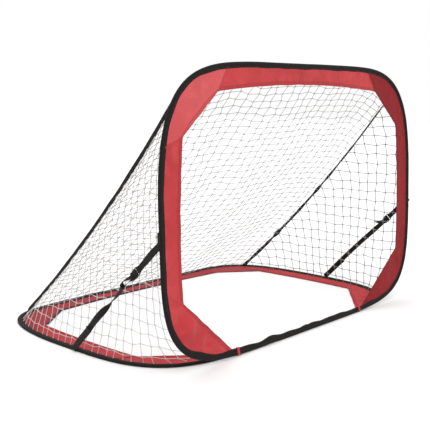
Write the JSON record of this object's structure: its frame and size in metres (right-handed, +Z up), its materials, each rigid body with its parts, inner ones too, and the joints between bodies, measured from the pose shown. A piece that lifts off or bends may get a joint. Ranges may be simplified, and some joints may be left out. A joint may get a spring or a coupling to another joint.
{
  "type": "pop up goal",
  "caption": "Pop-up goal: an upright sprung hoop tied to a hoop on the ground, with cloth corners, a net at the back and sides, and buckled side straps.",
  "frame": {"origin": "centre of the bounding box's footprint, on the ground", "axes": "+X to the right across the mouth seen from in front, +Y from the mouth to the back, +Z up"},
  "size_m": [1.2414, 0.8002, 0.8],
  "materials": {
    "red_cloth": "plain-woven polyester, slight sheen",
    "black_sleeve": "black woven polyester tape, matt",
    "black_webbing": "black polypropylene webbing",
    "red_tape": "narrow woven tape",
    "white_net": "knotless twisted polyethylene net",
    "buckle_plastic": "moulded, slightly grey-brown black",
    "spring_steel": "hardened flat spring steel, hidden in the sleeves"
  },
  "bodies": {
    "base": {"base_sleeve": "black_sleeve", "base_spring_band": "spring_steel", "base_ferrule": "spring_steel", "base_band_rear": "red_cloth", "base_band_left": "red_cloth", "base_band_right": "red_cloth", "base_corner_rear_left": "red_cloth", "base_corner_rear_right": "red_cloth", "base_corner_front_left": "red_cloth", "base_corner_front_right": "red_cloth", "hinge_tape_left": "red_tape", "hinge_tape_right": "red_tape", "net_back": "white_net", "net_left": "white_net", "net_right": "white_net", "rib_tape_left": "black_webbing", "rib_tape_right": "black_webbing", "left_strap_webbing": "black_webbing", "right_strap_webbing": "black_webbing", "left_strap_anchor": "black_webbing", "right_strap_anchor": "black_webbing"},
    "front": {"front_sleeve": "black_sleeve", "front_spring_band": "spring_steel", "front_ferrule": "spring_steel", "front_band_top": "red_cloth", "front_band_left": "red_cloth", "front_band_right": "red_cloth", "front_corner_top_left": "red_cloth", "front_corner_top_right": "red_cloth", "front_corner_bottom_left": "red_cloth", "front_corner_bottom_right": "red_cloth"},
    "left_strap": {"left_buckle_webbing": "black_webbing"},
    "right_strap": {"right_buckle_webbing": "black_webbing"},
    "left_buckle": {"left_buckle": "buckle_plastic"},
    "right_buckle": {"right_buckle": "buckle_plastic"}
  },
  "joints": [
    {"name": "goal_fold", "type": "hinge", "parent": "base", "child": "front", "pos_m": [0, -0.39025, 0.0086], "axis": [-1, 0, 0], "range_deg": [0, 84], "deforming": ["net_back", "net_left", "net_right", "rib_tape_left", "rib_tape_right", "left_strap_webbing", "right_strap_webbing", "left_strap_anchor", "right_strap_anchor", "left_buckle_webbing", "right_buckle_webbing", "hinge_tape_left", "hinge_tape_right"]},
    {"name": "left_strap_swing", "type": "hinge", "parent": "base", "child": "left_strap", "pos_m": [-0.6136, -0.39025, 0.0086], "axis": [-1, 0, 0], "range_deg": [0, 68]},
    {"name": "right_strap_swing", "type": "hinge", "parent": "base", "child": "right_strap", "pos_m": [0.6136, -0.39025, 0.0086], "axis": [-1, 0, 0], "range_deg": [0, 68]},
    {"name": "left_buckle_tilt", "type": "hinge", "parent": "left_strap", "child": "left_buckle", "pos_m": [-0.6136, -0.30848, 0.27463], "axis": [0, 0.7037, 0.7105], "range_deg": [0, 40]},
    {"name": "right_buckle_tilt", "type": "hinge", "parent": "right_strap", "child": "right_buckle", "pos_m": [0.6136, -0.30848, 0.27463], "axis": [0, -0.7037, -0.7105], "range_deg": [0, 40]}
  ],
  "couplings": [
    {"joint": "left_strap_swing", "follows": "goal_fold", "ratio": 0.8},
    {"joint": "right_strap_swing", "follows": "goal_fold", "ratio": 0.8}
  ]
}
